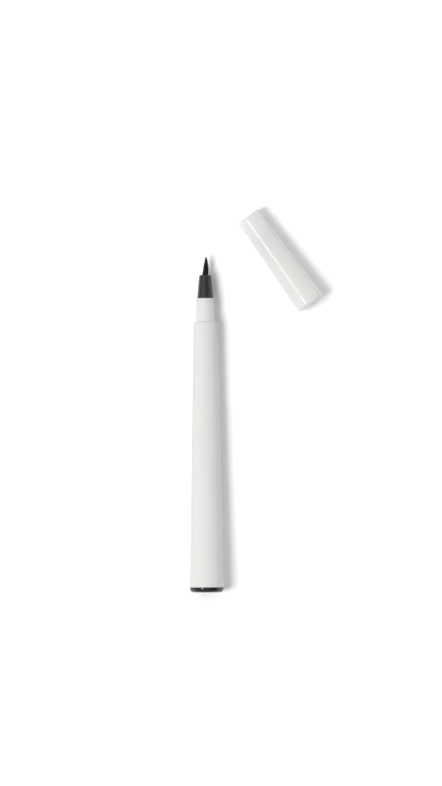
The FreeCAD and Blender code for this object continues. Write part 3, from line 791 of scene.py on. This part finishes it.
waxy = Finish("inner_cap_natural", cap_place)
radius = (waxy.across * waxy.across + waxy.over * waxy.over).root()
down_well = waxy.station.between(cup_rim + WELL_DEPTH[0], cup_rim + WELL_DEPTH[1])
in_well = (1 - radius.between(*WELL_WALL)) * down_well
smudge = in_well * waxy.noise(SMUDGE_PATCH, FINE).between(*SMUDGE_EDGE)
bare_cup = waxy.blend(waxy.noise(CUP_PATCH, FINE), CUP_NATURAL, CUP_SHADE)
cup_rub = waxy.noise(CUP_RUB, FINE)
dress("inner_cap", waxy.end({
    "Base Color": waxy.blend(smudge * SMUDGE_SHARE, bare_cup, CUP_SMUDGE),
    "Roughness": CUP_ROUGHNESS + cup_rub * CUP_RUB_ROUGHER - smudge * SMUDGE_SMOOTHER,
    "Normal": waxy.raised(waxy.noise(CUP_GRAIN), CUP_RELIEF),
    "Subsurface Weight": CUP_MILKINESS,
    "Subsurface Scale": CUP_MILKY_DEPTH,
    "IOR": CUP_INDEX,
}))


# Table, light and camera: a white table under a broad softbox high on the left, which gives the shade,
# and a narrow strip lamp before it, which only shows in gloss. The room is pale, with a soft glow at the
# front left, a dark screen overhead on the right and a white card low on the right.

WHITE = (1, 1, 1, 1)
FLOOR_SIDE = 12.0
FLOOR_WHITE = (0.86, 0.86, 0.86, 1)
FLOOR_SEEN = (1.09, 1.09, 1.09, 1)
FAR_FLOOR = (0.18, 0.6)
LOOKING_RAYS = ("Camera", "Glossy", "Transmission")
KEY_PLACE = Vector((-0.72, -0.28, 1.26))
KEY_SIDES = (0.54, 0.60)
KEY_POWER = 13.8
STRIP_PLACE = Vector((-0.69, -0.21, 1.19))
STRIP_SIDES = (0.56, 0.10)
STRIP_POWER = 3.3
ROOM_LEVEL = 0.51
ROOM_LEAN = 0.13
ROOM_TILT = 0.12
SCREEN_LEVEL = 0.02
SCREEN_NEAR = (0.15, 0.47)
SCREEN_FAR = (0.82, 0.94)
SCREEN_SHIFT = 0.12
SCREEN_ALONG = (0.06, 0.36)
CARD_DIRECTION = (0.87, 0.42)
CARD_EDGE = (0.80, 0.95)
CARD_LEVEL = 2.4
GLOW_DIRECTION = (-0.54, 0.29, 0.79)
GLOW_EDGE = (0.90, 0.99)
GLOW_LEVEL = 1.3
PHOTO_HEIGHT = 786
PIXEL = 0.000365
VIEW_CENTRE = Vector((-0.01264, 0.002916, 0.005))
VIEW_ROLL = 0.3
CAMERA_DISTANCE = 3.0
SENSOR = 36.0

floor_mesh = bpy.data.meshes.new("table")
half = FLOOR_SIDE / 2
floor_corners = [(-half, -half, 0), (half, -half, 0), (half, half, 0), (-half, half, 0)]
floor_mesh.from_pydata(floor_corners, [], [(0, 1, 2, 3)])
floor = bpy.data.objects.new("table", floor_mesh)
scene.collection.objects.link(floor)

# Rays that look at the table see it whiter than the table lights the object, and plain white far off
sweep = bpy.data.materials.new("table_white")
sweep_tree = bare_tree(sweep)
to_camera, to_gloss, to_glass = [
    add_node(sweep_tree, "ShaderNodeLightPath", output=f"Is {ray} Ray") for ray in LOOKING_RAYS
]
looked_at = to_camera.most(to_gloss).most(to_glass)
whites = {"Factor_Float": looked_at, "A_Color": FLOOR_WHITE, "B_Color": FLOOR_SEEN}
sweep_white = add_node(sweep_tree, "ShaderNodeMix", {"data_type": "RGBA"}, whites)
sweep_skin = add_node(sweep_tree, "ShaderNodeBsdfDiffuse", None, {"Color": sweep_white})
spot = add_node(sweep_tree, "ShaderNodeTexCoord", output="Object")
split_spot = add_node(sweep_tree, "ShaderNodeSeparateXYZ", None, {"Vector": spot})
spot_x, spot_y = split_spot.outputs()[:2]
far_off = (spot_x * spot_x + spot_y * spot_y).root().between(*FAR_FLOOR)
far_white = add_node(sweep_tree, "ShaderNodeEmission", None, {"Color": WHITE, "Strength": 1.0})
sweep_sockets = {"Fac": looked_at * far_off, "Shader": sweep_skin, "Shader_001": far_white}
sweep_shader = add_node(sweep_tree, "ShaderNodeMixShader", None, sweep_sockets)
add_node(sweep_tree, "ShaderNodeOutputMaterial", None, {"Surface": sweep_shader})
floor_mesh.materials.append(sweep)

room = bpy.data.worlds.new("studio")
room_tree = bare_tree(room)
towards = add_node(room_tree, "ShaderNodeTexCoord", output="Generated")
split_room = add_node(room_tree, "ShaderNodeSeparateXYZ", None, {"Vector": towards})
sideways, along, upwards = split_room.outputs()
shifted = along + SCREEN_SHIFT
screen_across = sideways.between(*SCREEN_NEAR) * (1 - sideways.between(*SCREEN_FAR))
screen = screen_across * (1 - (shifted * shifted).between(*SCREEN_ALONG))
card = (sideways * CARD_DIRECTION[0] + along * CARD_DIRECTION[1]).between(*CARD_EDGE)
glow_level = sideways * GLOW_DIRECTION[0] + along * GLOW_DIRECTION[1]
glow = (glow_level + upwards * GLOW_DIRECTION[2]).between(*GLOW_EDGE)
bare_walls = ROOM_LEVEL + along * ROOM_LEAN + sideways * ROOM_TILT
lit_walls = bare_walls + card * (CARD_LEVEL - ROOM_LEVEL) + glow * (GLOW_LEVEL - ROOM_LEVEL)
walls = lit_walls + screen * (SCREEN_LEVEL - ROOM_LEVEL)
to_camera = add_node(room_tree, "ShaderNodeLightPath", output="Is Camera Ray")
seen_sockets = {"Factor_Float": to_camera, "A_Color": walls, "B_Color": WHITE}
seen = add_node(room_tree, "ShaderNodeMix", {"data_type": "RGBA"}, seen_sockets)
backdrop = add_node(room_tree, "ShaderNodeBackground", None, {"Color": seen, "Strength": 1.0})
add_node(room_tree, "ShaderNodeOutputWorld", None, {"Surface": backdrop})
scene.world = room


def softbox(name, place, sides, power):
    """A rectangular lamp turned to the object. Its first side is level."""
    lamp = bpy.data.lights.new(name, "AREA")
    lamp.shape = "RECTANGLE"
    lamp.size, lamp.size_y = sides
    lamp.energy = power
    box = bpy.data.objects.new(name, lamp)
    box.location = place
    box.rotation_euler = (place - VIEW_CENTRE).to_track_quat("Z", "Y").to_euler()
    scene.collection.objects.link(box)
    return box


softbox("softbox", KEY_PLACE, KEY_SIDES, KEY_POWER).visible_glossy = False
softbox("strip", STRIP_PLACE, STRIP_SIDES, STRIP_POWER).visible_diffuse = False

# The camera looks straight down from far off
camera_data = bpy.data.cameras.new("camera")
camera_data.sensor_width = SENSOR
camera_data.lens = SENSOR * CAMERA_DISTANCE / (PHOTO_HEIGHT * PIXEL)
camera_data.clip_end = 2 * FLOOR_SIDE
camera = bpy.data.objects.new("camera", camera_data)
camera.location = VIEW_CENTRE + Vector((0, 0, CAMERA_DISTANCE))
camera.rotation_euler = (0, 0, -math.radians(VIEW_ROLL))
scene.collection.objects.link(camera)
scene.camera = camera
scene.view_settings.view_transform = "Standard"
